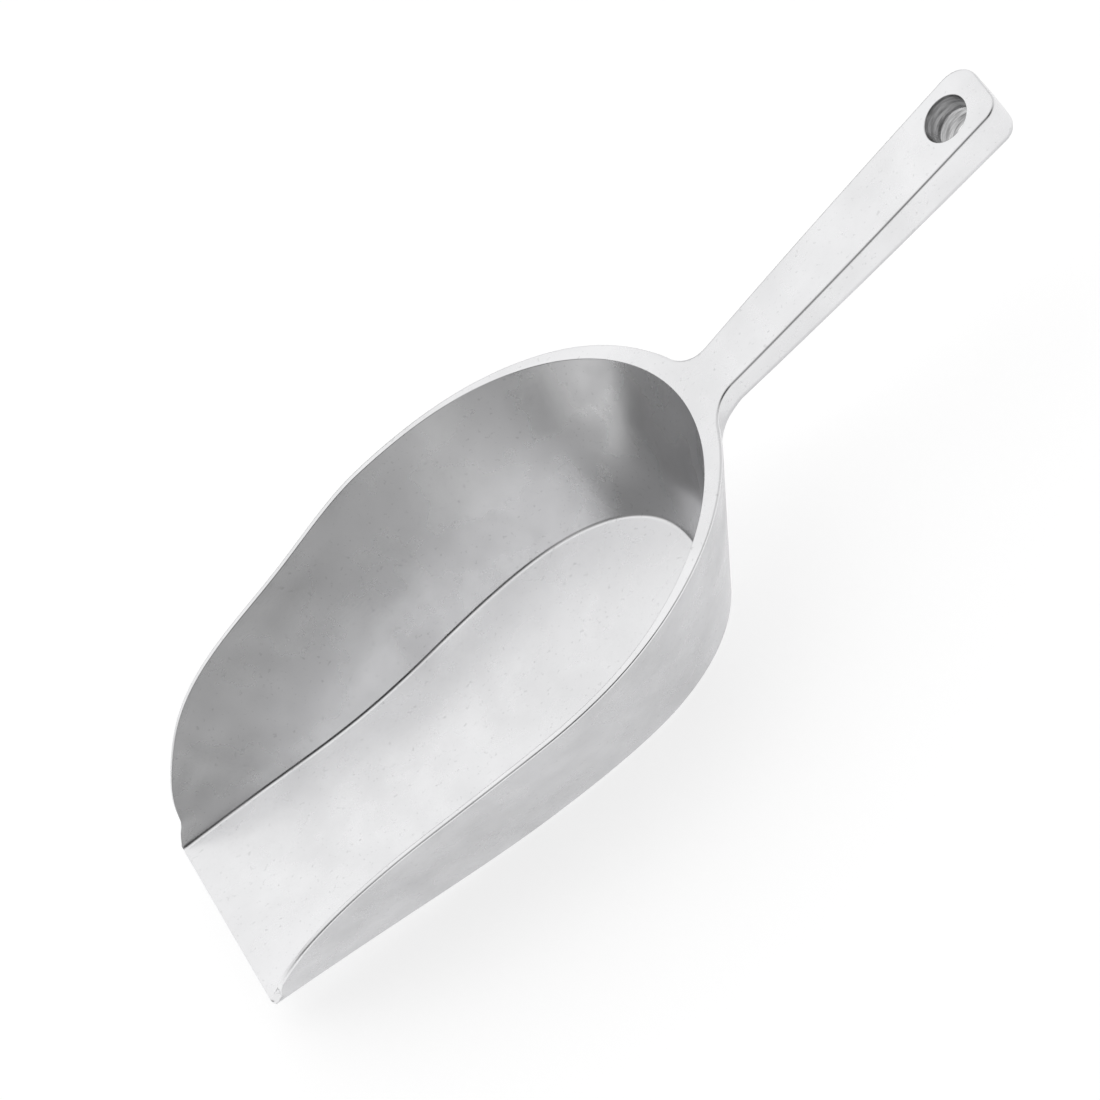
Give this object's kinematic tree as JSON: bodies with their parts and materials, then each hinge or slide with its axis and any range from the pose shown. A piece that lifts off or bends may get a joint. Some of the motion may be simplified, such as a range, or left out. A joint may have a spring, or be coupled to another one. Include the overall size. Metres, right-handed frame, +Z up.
{
  "type": "ice scoop",
  "caption": "Flat-bottomed cast scoop with an open lip, a flared wall round a rounded back, and a tapered bar handle with a hanging hole.",
  "frame": {"origin": "middle of the scoop's box in plan, at the height of its flat underside", "axes": "+X from the open lip to the end of the handle, +Z up, and the scoop is symmetric about Y = 0"},
  "size_m": [0.273, 0.1138, 0.0604],
  "materials": {
    "casting": "cast aluminium, ground and polished to a satin shine"
  },
  "bodies": {
    "root": {"bowl_floor": "casting", "left_wall": "casting", "right_wall": "casting", "back_wall": "casting", "neck_web": "casting", "handle_bar": "casting", "handle_eye": "casting"}
  },
  "joints": []
}
